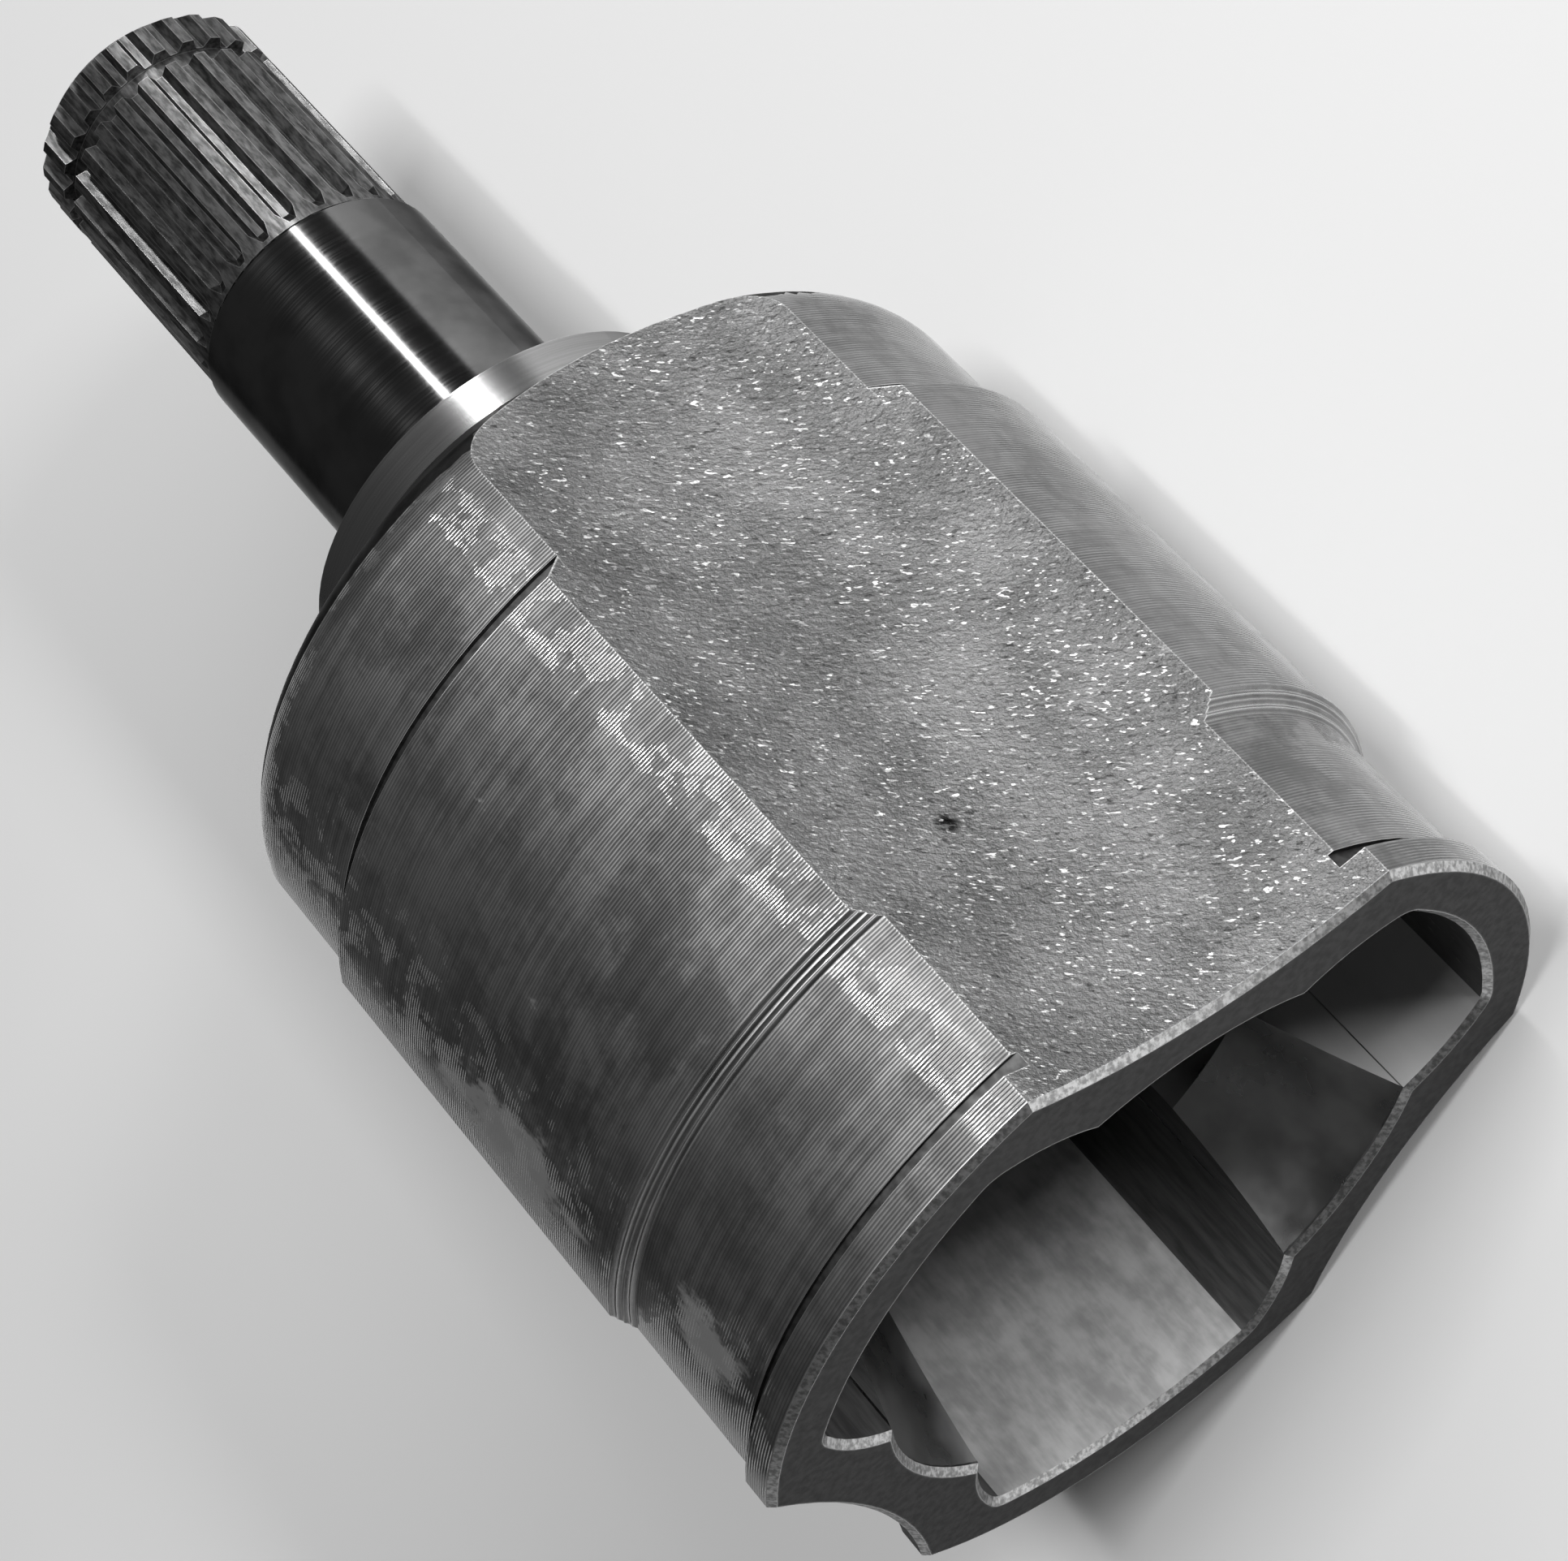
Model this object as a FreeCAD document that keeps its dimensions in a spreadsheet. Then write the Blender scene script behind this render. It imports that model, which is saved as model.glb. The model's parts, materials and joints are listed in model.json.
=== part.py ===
# Tripod constant-velocity joint, gearbox side: a three-lobed housing forged in one with its splined stub,
# and the tripod that slides in its three roller tracks.
# X runs along the joint's axis towards the mouth and the first lobe points up. The origin is on the axis,
# at the collar's back face, where the ground journal starts. Millimetres and degrees.
import FreeCAD
import Part
import Sketcher
import os
from FreeCAD import Vector, Rotation, Placement

doc = FreeCAD.newDocument("cv_joint")

sheet = doc.addObject("Spreadsheet::Sheet", "dims")
DIMS = [
    # housing, outside, from the collar's back face to the mouth
    ("collar_r", 21.5), ("collar_w", 4.2), ("cone_len", 13.1),
    ("rear_drop", 1.55), ("shoulder_round", 6.5), ("rear_len", 16.5),
    ("lobe_wall", 5.8), ("floor_stand", 6.2), ("ridge_flat", 0.22), ("ridge_fall", 0.23), ("ridge_drop", 0.38),
    ("seat_drop", 1.5), ("seat_len", 16.0), ("undercut_deep", 0.4), ("undercut_w", 0.5),
    ("lip_drop", 0.2), ("lip_w", 3.6), ("mouth_chamfer", 0.6),
    # scallops between the lobes
    ("scallop_r", 57.6), ("scallop_wall", 5.55),
    # stub
    ("journal_step", 0.45), ("journal_len", 32.4), ("step_w", 0.6), ("spline_r", 13.0), ("tooth_height", 1.1),
    ("spline_teeth", 25), ("gap_tip", 2.1), ("gap_root", 0.8), ("spline_len", 25.6), ("runout_start", 2.3),
    ("runout_len", 1.8), ("spline_turn", 6.4), ("groove_deep", 1.3), ("groove_w", 2.0),
    ("tip_len", 5.4), ("end_chamfer", 1.3), ("centre_r", 3.2), ("centre_depth", 3.0), ("drill_r", 1.5),
    ("drill_depth", 7.0),
    # housing, inside
    ("bore_over", 5.55), ("depth", 72.5), ("track_r", 17.45), ("tip_gap", 2.8),
    ("track_face_r", 40.0), ("track_round", 3.0), ("recess_r", 19.0), ("recess_depth", 4.0),
    ("recess_floor_r", 9.0),
    # tripod, at rest at the deep end of its travel
    ("floor_gap", 5.85), ("track_gap", 0.3), ("roller_half", 6.6), ("roller_edge", 0.8),
    ("counterbore", 0.9), ("counterbore_gap", 0.4), ("trunnion_r", 9.0), ("needle_d", 2.5),
    ("needle_gap", 0.03), ("needle_count", 25), ("needle_half", 5.9), ("washer_t", 0.9), ("washer_band", 3.2),
    ("washer_gap", 0.1), ("washer_bore_gap", 0.15), ("ring_t", 1.2), ("ring_groove", 0.8), ("ring_band", 2.1),
    ("ring_side", 0.05), ("ring_mouth", 4.0), ("trunnion_tip", 1.5), ("trunnion_chamfer", 0.7),
    ("pad_r", 12.4), ("pad_rise", 1.2), ("hub_wall", 3.7), ("hub_half", 13.0), ("hub_chamfer", 1.4),
    ("hub_bore_r", 9.9),
    ("hub_tooth", 1.0), ("hub_teeth", 22), ("hub_gap_in", 1.7), ("hub_gap_out", 0.9), ("hub_lead", 1.3),
]
SAME = 1e-3
VALUE = {}
for row, (alias, value) in enumerate(DIMS, start=1):
    sheet.set("A%d" % row, alias)
    sheet.set("B%d" % row, str(value))
    sheet.setAlias("B%d" % row, alias)
    VALUE[alias] = value
doc.recompute()


def total(terms):
    """The sum of named sizes; a leading minus subtracts one."""
    return sum(-VALUE[t[1:]] if t.startswith("-") else VALUE[t] for t in terms)


def formula(terms):
    """The same sum as an expression on the spreadsheet."""
    parts = ["- dims.%s" % t[1:] if t.startswith("-") else "+ dims.%s" % t for t in terms]
    return "0 " + " ".join(parts)


def minus(terms):
    return [t[1:] if t.startswith("-") else "-" + t for t in terms]


def new_body(label):
    body = doc.addObject("PartDesign::Body", label)
    body.Label = label
    return body


def origin_item(body, role):
    return [item for item in body.Origin.OriginFeatures if item.Role == role][0]


def new_sketch(body, role, name, offset=None, turn=None):
    """A sketch on one of the body's own planes; offset lists the sizes that place it along the normal, and
    turn names the angle that it is turned about that normal."""
    sketch = body.newObject("Sketcher::SketchObject", name)
    sketch.AttachmentSupport = [(origin_item(body, role), "")]
    sketch.MapMode = "FlatFace"
    if offset:
        sketch.AttachmentOffset = Placement(Vector(0, 0, total(offset)), Rotation())
        sketch.setExpression("AttachmentOffset.Base.z", formula(offset))
    if turn:
        spin = Rotation(Vector(0, 0, 1), VALUE[turn])
        sketch.AttachmentOffset = Placement(Vector(0, 0, total(offset)), spin)
        sketch.setExpression("AttachmentOffset.Rotation.Angle", "dims." + turn)
    return sketch


def pin_size(sketch, index, terms):
    sketch.setExpression("Constraints[%d]" % index, formula(terms))


def fix_point(sketch, geo, vertex, x_terms, y_terms):
    """Place one vertex by its two distances from the sketch's origin."""
    for kind, terms in (("DistanceX", x_terms), ("DistanceY", y_terms)):
        index = sketch.addConstraint(Sketcher.Constraint(kind, -1, 1, geo, vertex, total(terms)))
        pin_size(sketch, index, terms)


def outline(sketch, points):
    """A closed outline of straight lines through points given as named sizes."""
    xy = [Vector(total(px), total(py), 0) for px, py in points]
    count = len(points)
    lines = [sketch.addGeometry(Part.LineSegment(xy[i], xy[(i + 1) % count]), False) for i in range(count)]
    for i in range(count):
        sketch.addConstraint(Sketcher.Constraint("Coincident", lines[i], 2, lines[(i + 1) % count], 1))
    for i in range(count):
        fix_point(sketch, lines[i], 1, points[i][0], points[i][1])
    return lines


def ring_circle(sketch, x_terms, y_terms, r_terms):
    geo = sketch.addGeometry(Part.Circle(Vector(total(x_terms), total(y_terms), 0), Vector(0, 0, 1),
                                         total(r_terms)), False)
    index = sketch.addConstraint(Sketcher.Constraint("Radius", geo, total(r_terms)))
    pin_size(sketch, index, r_terms)
    fix_point(sketch, geo, 3, x_terms, y_terms)
    return geo


def revolve(body, sketch, axis="H_Axis", cut=False):
    """A full turn of the sketch about its own horizontal or vertical axis."""
    feature = body.newObject("PartDesign::Groove" if cut else "PartDesign::Revolution", sketch.Name + "_turn")
    feature.Profile = sketch
    feature.ReferenceAxis = (sketch, [axis])
    feature.Angle = 360
    sketch.Visibility = False
    doc.recompute()
    return feature


def pocket(body, sketch, length, reverse=False):
    """Cut the sketch to a depth given as named sizes, away from its normal unless reversed."""
    before = body.Shape.Volume
    feature = body.newObject("PartDesign::Pocket", sketch.Name + "_cut")
    feature.Profile = sketch
    feature.Length = total(length)
    feature.setExpression("Length", formula(length))
    feature.Reversed = reverse
    sketch.Visibility = False
    doc.recompute()
    if not body.Shape.Volume < before:
        raise RuntimeError("%s removes nothing" % sketch.Name)
    return feature


def around(body, features, role, count_name, name):
    """Repeat features evenly about one of the body's own axes."""
    pattern = body.newObject("PartDesign::PolarPattern", name)
    pattern.Originals = features
    pattern.Axis = (origin_item(body, role), [""])
    pattern.Angle = 360
    if isinstance(count_name, str):
        pattern.Occurrences = int(VALUE[count_name])
        pattern.setExpression("Occurrences", "dims." + count_name)
    else:
        pattern.Occurrences = count_name
    body.Tip = pattern
    doc.recompute()
    return pattern


def edges_where(shape, test):
    return ["Edge%d" % number for number, edge in enumerate(shape.Edges, start=1) if test(edge)]


def dress(body, kind, name, test, size):
    """A fillet or chamfer on every edge of the body's present shape that passes the test."""
    base = body.Tip
    names = edges_where(base.Shape, test)
    if not names:
        raise RuntimeError("%s finds no edge" % name)
    feature = body.newObject("PartDesign::" + kind, name)
    feature.Base = (base, names)
    prop = "Radius" if kind == "Fillet" else "Size"
    setattr(feature, prop, VALUE[size])
    feature.setExpression(prop, "dims." + size)
    doc.recompute()
    return feature


def wedge_gap(sketch, root_r, tip_r, root_w, tip_w, over, lift=()):
    """One tooth gap with straight sides, on the sketch's vertical axis, open past the tooth tips."""
    rise = total(tip_r) - total(root_r)
    flare = (VALUE[tip_w] - VALUE[root_w]) / 2 / rise
    shift = total(lift) if lift else 0
    low = total(root_r) + shift
    high = total(tip_r) + over + shift
    half_low = VALUE[root_w] / 2
    half_high = VALUE[root_w] / 2 + flare * (high - low)
    corners = [(-half_low, low), (half_low, low), (half_high, high), (-half_high, high)]
    spots = [Vector(x, y, 0) for x, y in corners]
    lines = [sketch.addGeometry(Part.LineSegment(spots[i], spots[(i + 1) % 4]), False) for i in range(4)]
    for i in range(4):
        sketch.addConstraint(Sketcher.Constraint("Coincident", lines[i], 2, lines[(i + 1) % 4], 1))
    half = "dims.%s / 2" % root_w
    slope = "(dims.%s - dims.%s) / 2 / (%s - (%s))" % (tip_w, root_w, formula(tip_r), formula(root_r))
    raise_by = formula(lift) if lift else "0"
    wide = "%s + %s * (%s - (%s) + %s)" % (half, slope, formula(tip_r), formula(root_r), over)
    floor = "%s + %s" % (formula(root_r), raise_by)
    roof = "%s + %s + %s" % (formula(tip_r), over, raise_by)
    spec = [("-(%s)" % half, floor), (half, floor), (wide, roof), ("-(%s)" % wide, roof)]
    for i, (x_text, y_text) in enumerate(spec):
        for kind, text, value in (("DistanceX", x_text, corners[i][0]), ("DistanceY", y_text, corners[i][1])):
            index = sketch.addConstraint(Sketcher.Constraint(kind, -1, 1, lines[i], 1, value))
            sketch.setExpression("Constraints[%d]" % index, text)


# --- radii from the shaft outwards: the hub, the trunnion's layers, the track, the wall over it ----------
# The trunnion carries, outwards: its pad, inner washer, needles, outer washer, snap ring and tip.

HUB_SPLINE_R = ["hub_bore_r", "hub_tooth"]
HUB_R = HUB_SPLINE_R + ["hub_wall"]
PAD_TOP = HUB_R + ["pad_rise"]
INNER_TOP = PAD_TOP + ["washer_t"]
PITCH = INNER_TOP + ["washer_gap", "needle_half"]
OUTER_LOW = PITCH + ["needle_half", "washer_gap"]
GROOVE_LOW = OUTER_LOW + ["washer_t"]
RING_LOW = GROOVE_LOW + ["ring_side"]
RING_TOP = RING_LOW + ["ring_t"]
GROOVE_TOP = RING_TOP + ["ring_side"]
TIP_TOP = GROOVE_TOP + ["trunnion_tip"]
TRACK_TOP = TIP_TOP + ["tip_gap"]
MAIN_R = TRACK_TOP + ["lobe_wall"]
REAR_R = MAIN_R + ["-rear_drop"]
SEAT_R = MAIN_R + ["-seat_drop"]
BORE_R = PITCH + ["bore_over"]

# --- housing: one forging, turned outside, ground on the journal ------------------------------------------

SHOULDER = ["collar_w", "cone_len"]
FLOOR = SHOULDER + ["floor_stand"]
MOUTH = FLOOR + ["depth"]
MAIN_RUN = ["floor_stand", "depth"] + minus(["rear_len", "seat_len", "undercut_w", "lip_w"]
                                            + ["ridge_fall", "ridge_flat"] * 4)
STUB = ["-journal_len", "-step_w", "-spline_len", "-groove_w", "-tip_len"]

housing = new_body("housing")
turned = new_sketch(housing, "XY_Plane", "housing_profile")
steps = [([], ["collar_r"]), (["collar_w"], ["collar_r"]), (["cone_len"], REAR_R),
         (["rear_len"], REAR_R), ([], MAIN_R), (MAIN_RUN, MAIN_R)]
for ridge in (1, 2, 3):
    ridge_r = MAIN_R + ["-ridge_drop"] * ridge
    steps += [(["ridge_fall"], ridge_r), (["ridge_flat"], ridge_r)]
steps += [(["ridge_fall"], SEAT_R), (["ridge_flat", "seat_len"], SEAT_R),
          ([], SEAT_R + ["-undercut_deep"]), (["undercut_w"], SEAT_R + ["-undercut_deep"]),
          ([], MAIN_R + ["-lip_drop"]), (["lip_w"], MAIN_R + ["-lip_drop"])]
points = []
along = []
for advance, radius in steps:
    along = along + advance
    points.append((along, radius))
points.append((MOUTH, []))
points.append((STUB, []))
points.append((STUB, ["spline_r", "-end_chamfer"]))
points.append((STUB + ["end_chamfer"], ["spline_r"]))
points.append((STUB[:4], ["spline_r"]))
points.append((STUB[:4], ["spline_r", "-groove_deep"]))
points.append((STUB[:3], ["spline_r", "-groove_deep"]))
points.append((STUB[:3], ["spline_r"]))
points.append((STUB[:2], ["spline_r"]))
points.append((STUB[:1], ["spline_r", "journal_step"]))
points.append(([], ["spline_r", "journal_step"]))
outline(turned, points)
revolve(housing, turned)


def at_shoulder(edge):
    curve = edge.Curve
    return (isinstance(curve, Part.Circle) and abs(curve.Radius - total(REAR_R)) < SAME
            and abs(curve.Center.x - total(SHOULDER)) < SAME)


dress(housing, "Fillet", "shoulder_rounding", at_shoulder, "shoulder_round")

# three shallow scallops as forged, between the lobes; the first lies below
scallop = new_sketch(housing, "YZ_Plane", "scallop_section", MOUTH)
ring_circle(scallop, [], minus(BORE_R + ["scallop_wall", "scallop_r"]), ["scallop_r"])
scallop_cut = pocket(housing, scallop, MOUTH)
around(housing, [scallop_cut], "X_Axis", 3, "scallops")

# the shaft's centre bore and the three roller tracks, from the mouth
bore = new_sketch(housing, "YZ_Plane", "bore_section", MOUTH)
ring_circle(bore, [], [], BORE_R)
pocket(housing, bore, ["depth"])

track = new_sketch(housing, "YZ_Plane", "track_section", MOUTH)
centre = total(PITCH)
face_centre = total(TRACK_TOP) - VALUE["track_face_r"]
meet_y = ((VALUE["track_face_r"] ** 2 - VALUE["track_r"] ** 2 - face_centre ** 2 + centre ** 2)
          / (2 * (centre - face_centre)))
meet_x = (VALUE["track_r"] ** 2 - (meet_y - centre) ** 2) ** 0.5
right = Vector(meet_x, meet_y, 0)
left = Vector(-meet_x, meet_y, 0)
low = Vector(0, centre - VALUE["track_r"], 0)
top = Vector(0, total(TRACK_TOP), 0)
flank = track.addGeometry(Part.Arc(left, low, right), False)
face = track.addGeometry(Part.Arc(right, top, left), False)
track.addConstraint(Sketcher.Constraint("Coincident", flank, 2, face, 1))
track.addConstraint(Sketcher.Constraint("Coincident", face, 2, flank, 1))
FACE_CENTRE = TRACK_TOP + ["-track_face_r"]
for arc, radius, height in ((flank, ["track_r"], PITCH), (face, ["track_face_r"], FACE_CENTRE)):
    index = track.addConstraint(Sketcher.Constraint("Radius", arc, total(radius)))
    pin_size(track, index, radius)
    fix_point(track, arc, 3, [], height)
track_cut = pocket(housing, track, ["depth"])
around(housing, [track_cut], "X_Axis", 3, "tracks")


def in_track_corner(edge):
    if not isinstance(edge.Curve, Part.Line) or abs(edge.tangentAt(edge.FirstParameter).x) < 0.999:
        return False
    spot = edge.Vertexes[0].Point
    radius = (spot.y ** 2 + spot.z ** 2) ** 0.5
    near_wall = total(BORE_R) < radius - VALUE["mouth_chamfer"] and radius < total(SEAT_R)
    return near_wall and abs(edge.Length - VALUE["depth"]) < VALUE["ring_side"]


dress(housing, "Fillet", "track_corner_rounding", in_track_corner, "track_round")

recess = new_sketch(housing, "XY_Plane", "recess_profile")
outline(recess, [(FLOOR, []), (FLOOR, ["recess_r"]), (FLOOR + ["-recess_depth"], ["recess_floor_r"]),
                 (FLOOR + ["-recess_depth"], [])])
revolve(housing, recess, cut=True)

mouth_x = total(MOUTH)
dress(housing, "Chamfer", "mouth_edges", lambda e: abs(e.BoundBox.XMin - mouth_x) < SAME, "mouth_chamfer")

# spline of the stub: one gap, its rising run-out, then both around the shaft
SPLINE_ROOT = ["spline_r", "-tooth_height"]
gap = new_sketch(housing, "YZ_Plane", "spline_gap", STUB, "spline_turn")
wedge_gap(gap, SPLINE_ROOT, ["spline_r"], "gap_root", "gap_tip", 1.0)
RUNOUT = ["-journal_len", "-step_w", "-runout_start"]
full_depth = ["tip_len", "groove_w", "spline_len", "-runout_start"]
gap_cut = pocket(housing, gap, full_depth, reverse=True)
near = new_sketch(housing, "YZ_Plane", "runout_deep", RUNOUT, "spline_turn")
wedge_gap(near, SPLINE_ROOT, ["spline_r"], "gap_root", "gap_tip", 1.0)
far = new_sketch(housing, "YZ_Plane", "runout_high", RUNOUT + ["runout_len"], "spline_turn")
wedge_gap(far, SPLINE_ROOT, ["spline_r"], "gap_root", "gap_tip", 1.0, ["tooth_height"])
runout = housing.newObject("PartDesign::SubtractiveLoft", "spline_runout")
runout.Profile = near
runout.Sections = [far]
runout.Ruled = True
near.Visibility = False
far.Visibility = False
doc.recompute()
around(housing, [gap_cut, runout], "X_Axis", "spline_teeth", "spline")

centre_hole = new_sketch(housing, "XY_Plane", "centre_hole_profile")
outline(centre_hole, [(STUB, []), (STUB, ["centre_r"]), (STUB + ["centre_depth"], ["drill_r"]),
                      (STUB + ["drill_depth"], ["drill_r"]), (STUB + ["drill_depth"], [])])
revolve(housing, centre_hole, cut=True)

# --- tripod -----------------------------------------------------------------------------------------------
# Every piece of the tripod is drawn about the tripod's centre with its trunnion along Z, and placed.

GROOVE_R = ["trunnion_r", "-ring_groove"]
RACE_R = ["trunnion_r", "needle_gap", "needle_d", "needle_gap"]
WASHER_IN = ["trunnion_r", "washer_bore_gap"]
WASHER_OUT = WASHER_IN + ["washer_band"]
BALL_R = ["track_r", "-track_gap"]
CENTRE = FLOOR + ["floor_gap"] + BALL_R


def place(item, angle):
    """Put a piece on the tripod's centre, its trunnion turned about the joint's axis."""
    item.Placement = Placement(Vector(total(CENTRE), 0, 0), Rotation(Vector(1, 0, 0), angle))
    item.setExpression("Placement.Base.x", formula(CENTRE))


spider = new_body("spider")
hub = new_sketch(spider, "XY_Plane", "hub_profile")
outline(hub, [(["-hub_half"], []), (["-hub_half"], HUB_R + ["-hub_chamfer"]),
              (["-hub_half", "hub_chamfer"], HUB_R), (["hub_half", "-hub_chamfer"], HUB_R),
              (["hub_half"], HUB_R + ["-hub_chamfer"]), (["hub_half"], [])])
revolve(spider, hub)
arm = new_sketch(spider, "XZ_Plane", "trunnion_profile")
outline(arm, [([], []), (["pad_r"], []), (["pad_r"], PAD_TOP), (["trunnion_r"], PAD_TOP),
              (["trunnion_r"], GROOVE_LOW), (GROOVE_R, GROOVE_LOW), (GROOVE_R, GROOVE_TOP),
              (["trunnion_r"], GROOVE_TOP), (["trunnion_r"], TIP_TOP + ["-trunnion_chamfer"]),
              (["trunnion_r", "-trunnion_chamfer"], TIP_TOP), ([], TIP_TOP)])
arm_turn = revolve(spider, arm, "V_Axis")
around(spider, [arm_turn], "X_Axis", 3, "trunnions")
hub_bore = new_sketch(spider, "YZ_Plane", "hub_bore_section", ["hub_half"])
ring_circle(hub_bore, [], [], ["hub_bore_r"])
pocket(spider, hub_bore, ["hub_half", "hub_half"])
lead = new_sketch(spider, "XY_Plane", "hub_lead_profile")
outline(lead, [(["hub_half"], []), (["hub_half"], ["hub_bore_r", "hub_lead"]),
               (["hub_half", "-hub_lead"], ["hub_bore_r"]), (["hub_half", "-hub_lead"], [])])
revolve(spider, lead, cut=True)
lead_back = new_sketch(spider, "XY_Plane", "hub_back_profile")
outline(lead_back, [(["-hub_half"], []), (["-hub_half", "hub_lead"], []),
                    (["-hub_half", "hub_lead"], ["hub_bore_r"]), (["-hub_half"], ["hub_bore_r", "hub_lead"])])
revolve(spider, lead_back, cut=True)
tooth_space = new_sketch(spider, "YZ_Plane", "hub_spline_gap", ["hub_half"])
wedge_gap(tooth_space, HUB_SPLINE_R, ["hub_bore_r"], "hub_gap_out", "hub_gap_in", -0.6)
space_cut = pocket(spider, tooth_space, ["hub_half", "hub_half"])
around(spider, [space_cut], "X_Axis", "hub_teeth", "hub_spline")
place(spider, 0)


def make_roller(number, angle):
    """A roller with a spherical rim, a plain race for the needles and a shallow seat at each end."""
    body = new_body("roller_%d" % number)
    section = new_sketch(body, "XZ_Plane", "roller_%d_profile" % number)
    rim = (total(BALL_R) ** 2 - VALUE["roller_half"] ** 2) ** 0.5
    low = PITCH + ["-roller_half"]
    high = PITCH + ["roller_half"]
    low_z = total(low)
    high_z = total(high)
    seat = WASHER_OUT + ["counterbore_gap"]
    outline_points = [Vector(rim, low_z, 0), Vector(rim, high_z, 0), Vector(total(seat), high_z, 0),
                      Vector(total(seat), high_z - VALUE["counterbore"], 0),
                      Vector(total(RACE_R), high_z - VALUE["counterbore"], 0),
                      Vector(total(RACE_R), low_z + VALUE["counterbore"], 0),
                      Vector(total(seat), low_z + VALUE["counterbore"], 0), Vector(total(seat), low_z, 0)]
    middle = Vector(total(BALL_R), total(PITCH), 0)
    pieces = [section.addGeometry(Part.Arc(outline_points[0], middle, outline_points[1]), False)]
    for i in range(1, 8):
        side = Part.LineSegment(outline_points[i], outline_points[(i + 1) % 8])
        pieces.append(section.addGeometry(side, False))
    for i in range(8):
        section.addConstraint(Sketcher.Constraint("Coincident", pieces[i], 2, pieces[(i + 1) % 8], 1))
    index = section.addConstraint(Sketcher.Constraint("Radius", pieces[0], total(BALL_R)))
    pin_size(section, index, BALL_R)
    fix_point(section, pieces[0], 3, [], PITCH)
    fix_point(section, pieces[2], 1, seat, high)
    fix_point(section, pieces[3], 1, seat, high + ["-counterbore"])
    fix_point(section, pieces[4], 1, RACE_R, high + ["-counterbore"])
    fix_point(section, pieces[5], 1, RACE_R, low + ["counterbore"])
    fix_point(section, pieces[6], 1, seat, low + ["counterbore"])
    fix_point(section, pieces[7], 1, seat, low)
    section.addConstraint(Sketcher.Constraint("Horizontal", pieces[1]))
    section.addConstraint(Sketcher.Constraint("Horizontal", pieces[7]))
    revolve(body, section, "V_Axis")

    def at_rim(edge):
        curve = edge.Curve
        return isinstance(curve, Part.Circle) and abs(curve.Radius - rim) < SAME and edge.isClosed()

    dress(body, "Chamfer", "roller_%d_edges" % number, at_rim, "roller_edge")
    place(body, angle)
    return body


def make_washer(name, angle, low, high):
    body = new_body(name)
    section = new_sketch(body, "XZ_Plane", name + "_profile")
    outline(section, [(WASHER_IN, low), (WASHER_OUT, low), (WASHER_OUT, high), (WASHER_IN, high)])
    revolve(body, section, "V_Axis")
    place(body, angle)
    return body


def make_snap_ring(number, angle):
    """An open ring that springs into the trunnion's groove."""
    body = new_body("snap_ring_%d" % number)
    section = new_sketch(body, "XZ_Plane", "snap_ring_%d_profile" % number)
    inner = GROOVE_R + ["ring_side"]
    outline(section, [(inner, RING_LOW), (inner + ["ring_band"], RING_LOW),
                      (inner + ["ring_band"], RING_TOP), (inner, RING_TOP)])
    revolve(body, section, "V_Axis")
    mouth = new_sketch(body, "XY_Plane", "snap_ring_%d_mouth" % number, RING_TOP)
    reach = inner + ["ring_band", "ring_band"]
    half = VALUE["ring_mouth"] / 2
    far = total(reach)
    spots = [Vector(0, -half, 0), Vector(far, -half, 0), Vector(far, half, 0), Vector(0, half, 0)]
    lines = [mouth.addGeometry(Part.LineSegment(spots[i], spots[(i + 1) % 4]), False) for i in range(4)]
    for i in range(4):
        mouth.addConstraint(Sketcher.Constraint("Coincident", lines[i], 2, lines[(i + 1) % 4], 1))
    spec = [("0", "-dims.ring_mouth / 2"), (formula(reach), "-dims.ring_mouth / 2"),
            (formula(reach), "dims.ring_mouth / 2"), ("0", "dims.ring_mouth / 2")]
    for i, (x_text, y_text) in enumerate(spec):
        for kind, text, value in (("DistanceX", x_text, spots[i].x), ("DistanceY", y_text, spots[i].y)):
            index = mouth.addConstraint(Sketcher.Constraint(kind, -1, 1, lines[i], 1, value))
            if text != "0":
                mouth.setExpression("Constraints[%d]" % index, text)
    pocket(body, mouth, ["ring_t", "ring_side"])
    place(body, angle)
    return body


def make_needles(number, angle):
    """A full row of loose needles: separate solids, so a compound and not one body."""
    radius = VALUE["needle_d"] / 2
    orbit = VALUE["trunnion_r"] + VALUE["needle_gap"] + radius
    count = int(VALUE["needle_count"])
    needles = []
    for step in range(count):
        turn = Rotation(Vector(0, 0, 1), 360.0 * step / count)
        foot = turn.multVec(Vector(orbit, 0, 0)) + Vector(0, 0, total(PITCH) - VALUE["needle_half"])
        needles.append(Part.makeCylinder(radius, 2 * VALUE["needle_half"], foot, Vector(0, 0, 1)))
    row = doc.addObject("Part::Feature", "needle_set_%d" % number)
    row.Label = "needle_set_%d" % number
    row.Shape = Part.makeCompound(needles)
    place(row, angle)
    return row


pieces_out = [housing, spider]
for number, angle in ((1, 0), (2, -120), (3, 120)):
    pieces_out.append(make_roller(number, angle))
    pieces_out.append(make_needles(number, angle))
    pieces_out.append(make_washer("inner_washer_%d" % number, angle, PAD_TOP, INNER_TOP))
    pieces_out.append(make_washer("outer_washer_%d" % number, angle, OUTER_LOW, GROOVE_LOW))
    pieces_out.append(make_snap_ring(number, angle))

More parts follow.
